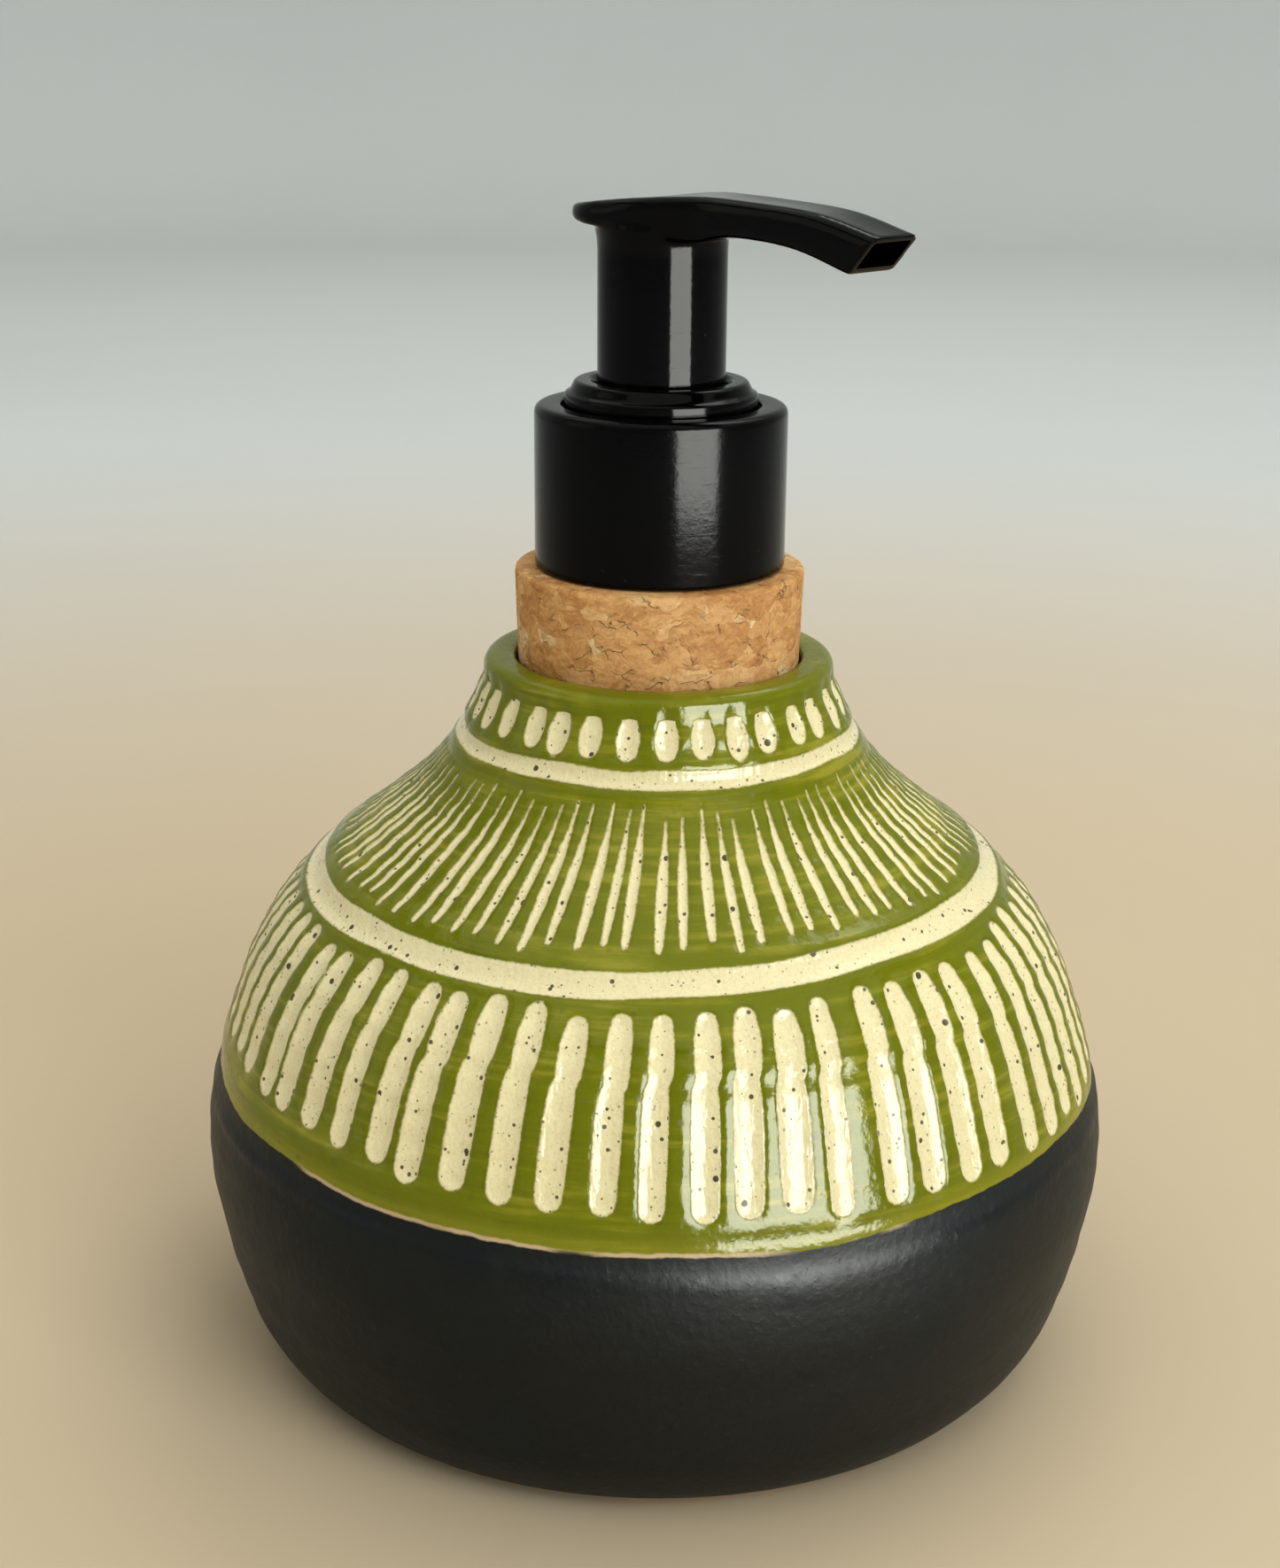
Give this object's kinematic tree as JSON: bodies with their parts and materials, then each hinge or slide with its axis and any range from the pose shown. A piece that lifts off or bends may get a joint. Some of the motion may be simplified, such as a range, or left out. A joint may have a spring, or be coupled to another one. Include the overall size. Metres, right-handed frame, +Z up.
{
  "type": "soap pump dispenser",
  "caption": "Round carved stoneware bottle closed by a cork stopper that carries a 28 mm lotion pump with an arched spout.",
  "frame": {"origin": "centre of the foot ring, on the surface that the bottle stands on", "axes": "+Z up along the bottle's and the pump's common axis, +X the way the spout points"},
  "size_m": [0.1142, 0.1142, 0.1428],
  "materials": {
    "glaze": "glossy olive-green glaze, carved through to a cream slip, over a matte blue-black lower third",
    "cork": "matte agglomerated cork",
    "black_plastic": "smooth semi-gloss black moulding",
    "natural_plastic": "natural translucent polypropylene",
    "seal": "soft white seal",
    "steel": "drawn stainless wire and polished steel",
    "glass": "clear glass valve ball"
  },
  "bodies": {
    "bottle": {"ceramic_bottle": "glaze"},
    "stopper": {"cork_stopper": "cork", "neck_insert": "natural_plastic", "closure_collar": "black_plastic", "lock_ring": "black_plastic", "gasket": "seal", "pump_housing": "natural_plastic", "ball_cage": "natural_plastic", "dip_tube": "natural_plastic", "return_spring": "steel"},
    "plunger": {"piston": "seal"},
    "head": {"actuator_head": "black_plastic", "piston_stem": "natural_plastic"},
    "inlet_valve": {"inlet_ball": "steel"},
    "outlet_valve": {"outlet_ball": "glass"}
  },
  "joints": [
    {"name": "stopper_lift", "type": "slide", "parent": "bottle", "child": "stopper", "axis": [0, 0, 1], "range_m": [0, 0.09]},
    {"name": "press", "type": "slide", "parent": "stopper", "child": "plunger", "axis": [0, 0, -1], "range_m": [0, 0.014], "stiffness_N_per_m": 700, "springref_m": -0.008, "deforming": ["return_spring"]},
    {"name": "head_swivel", "type": "hinge", "parent": "plunger", "child": "head", "pos_m": [0, 0, 0.12], "axis": [0, 0, 1], "continuous": true},
    {"name": "inlet_ball_lift", "type": "slide", "parent": "stopper", "child": "inlet_valve", "axis": [0, 0, 1], "range_m": [0, 0.0015]},
    {"name": "outlet_ball_lift", "type": "slide", "parent": "head", "child": "outlet_valve", "axis": [0, 0, 1], "range_m": [0, 0.0015]}
  ]
}
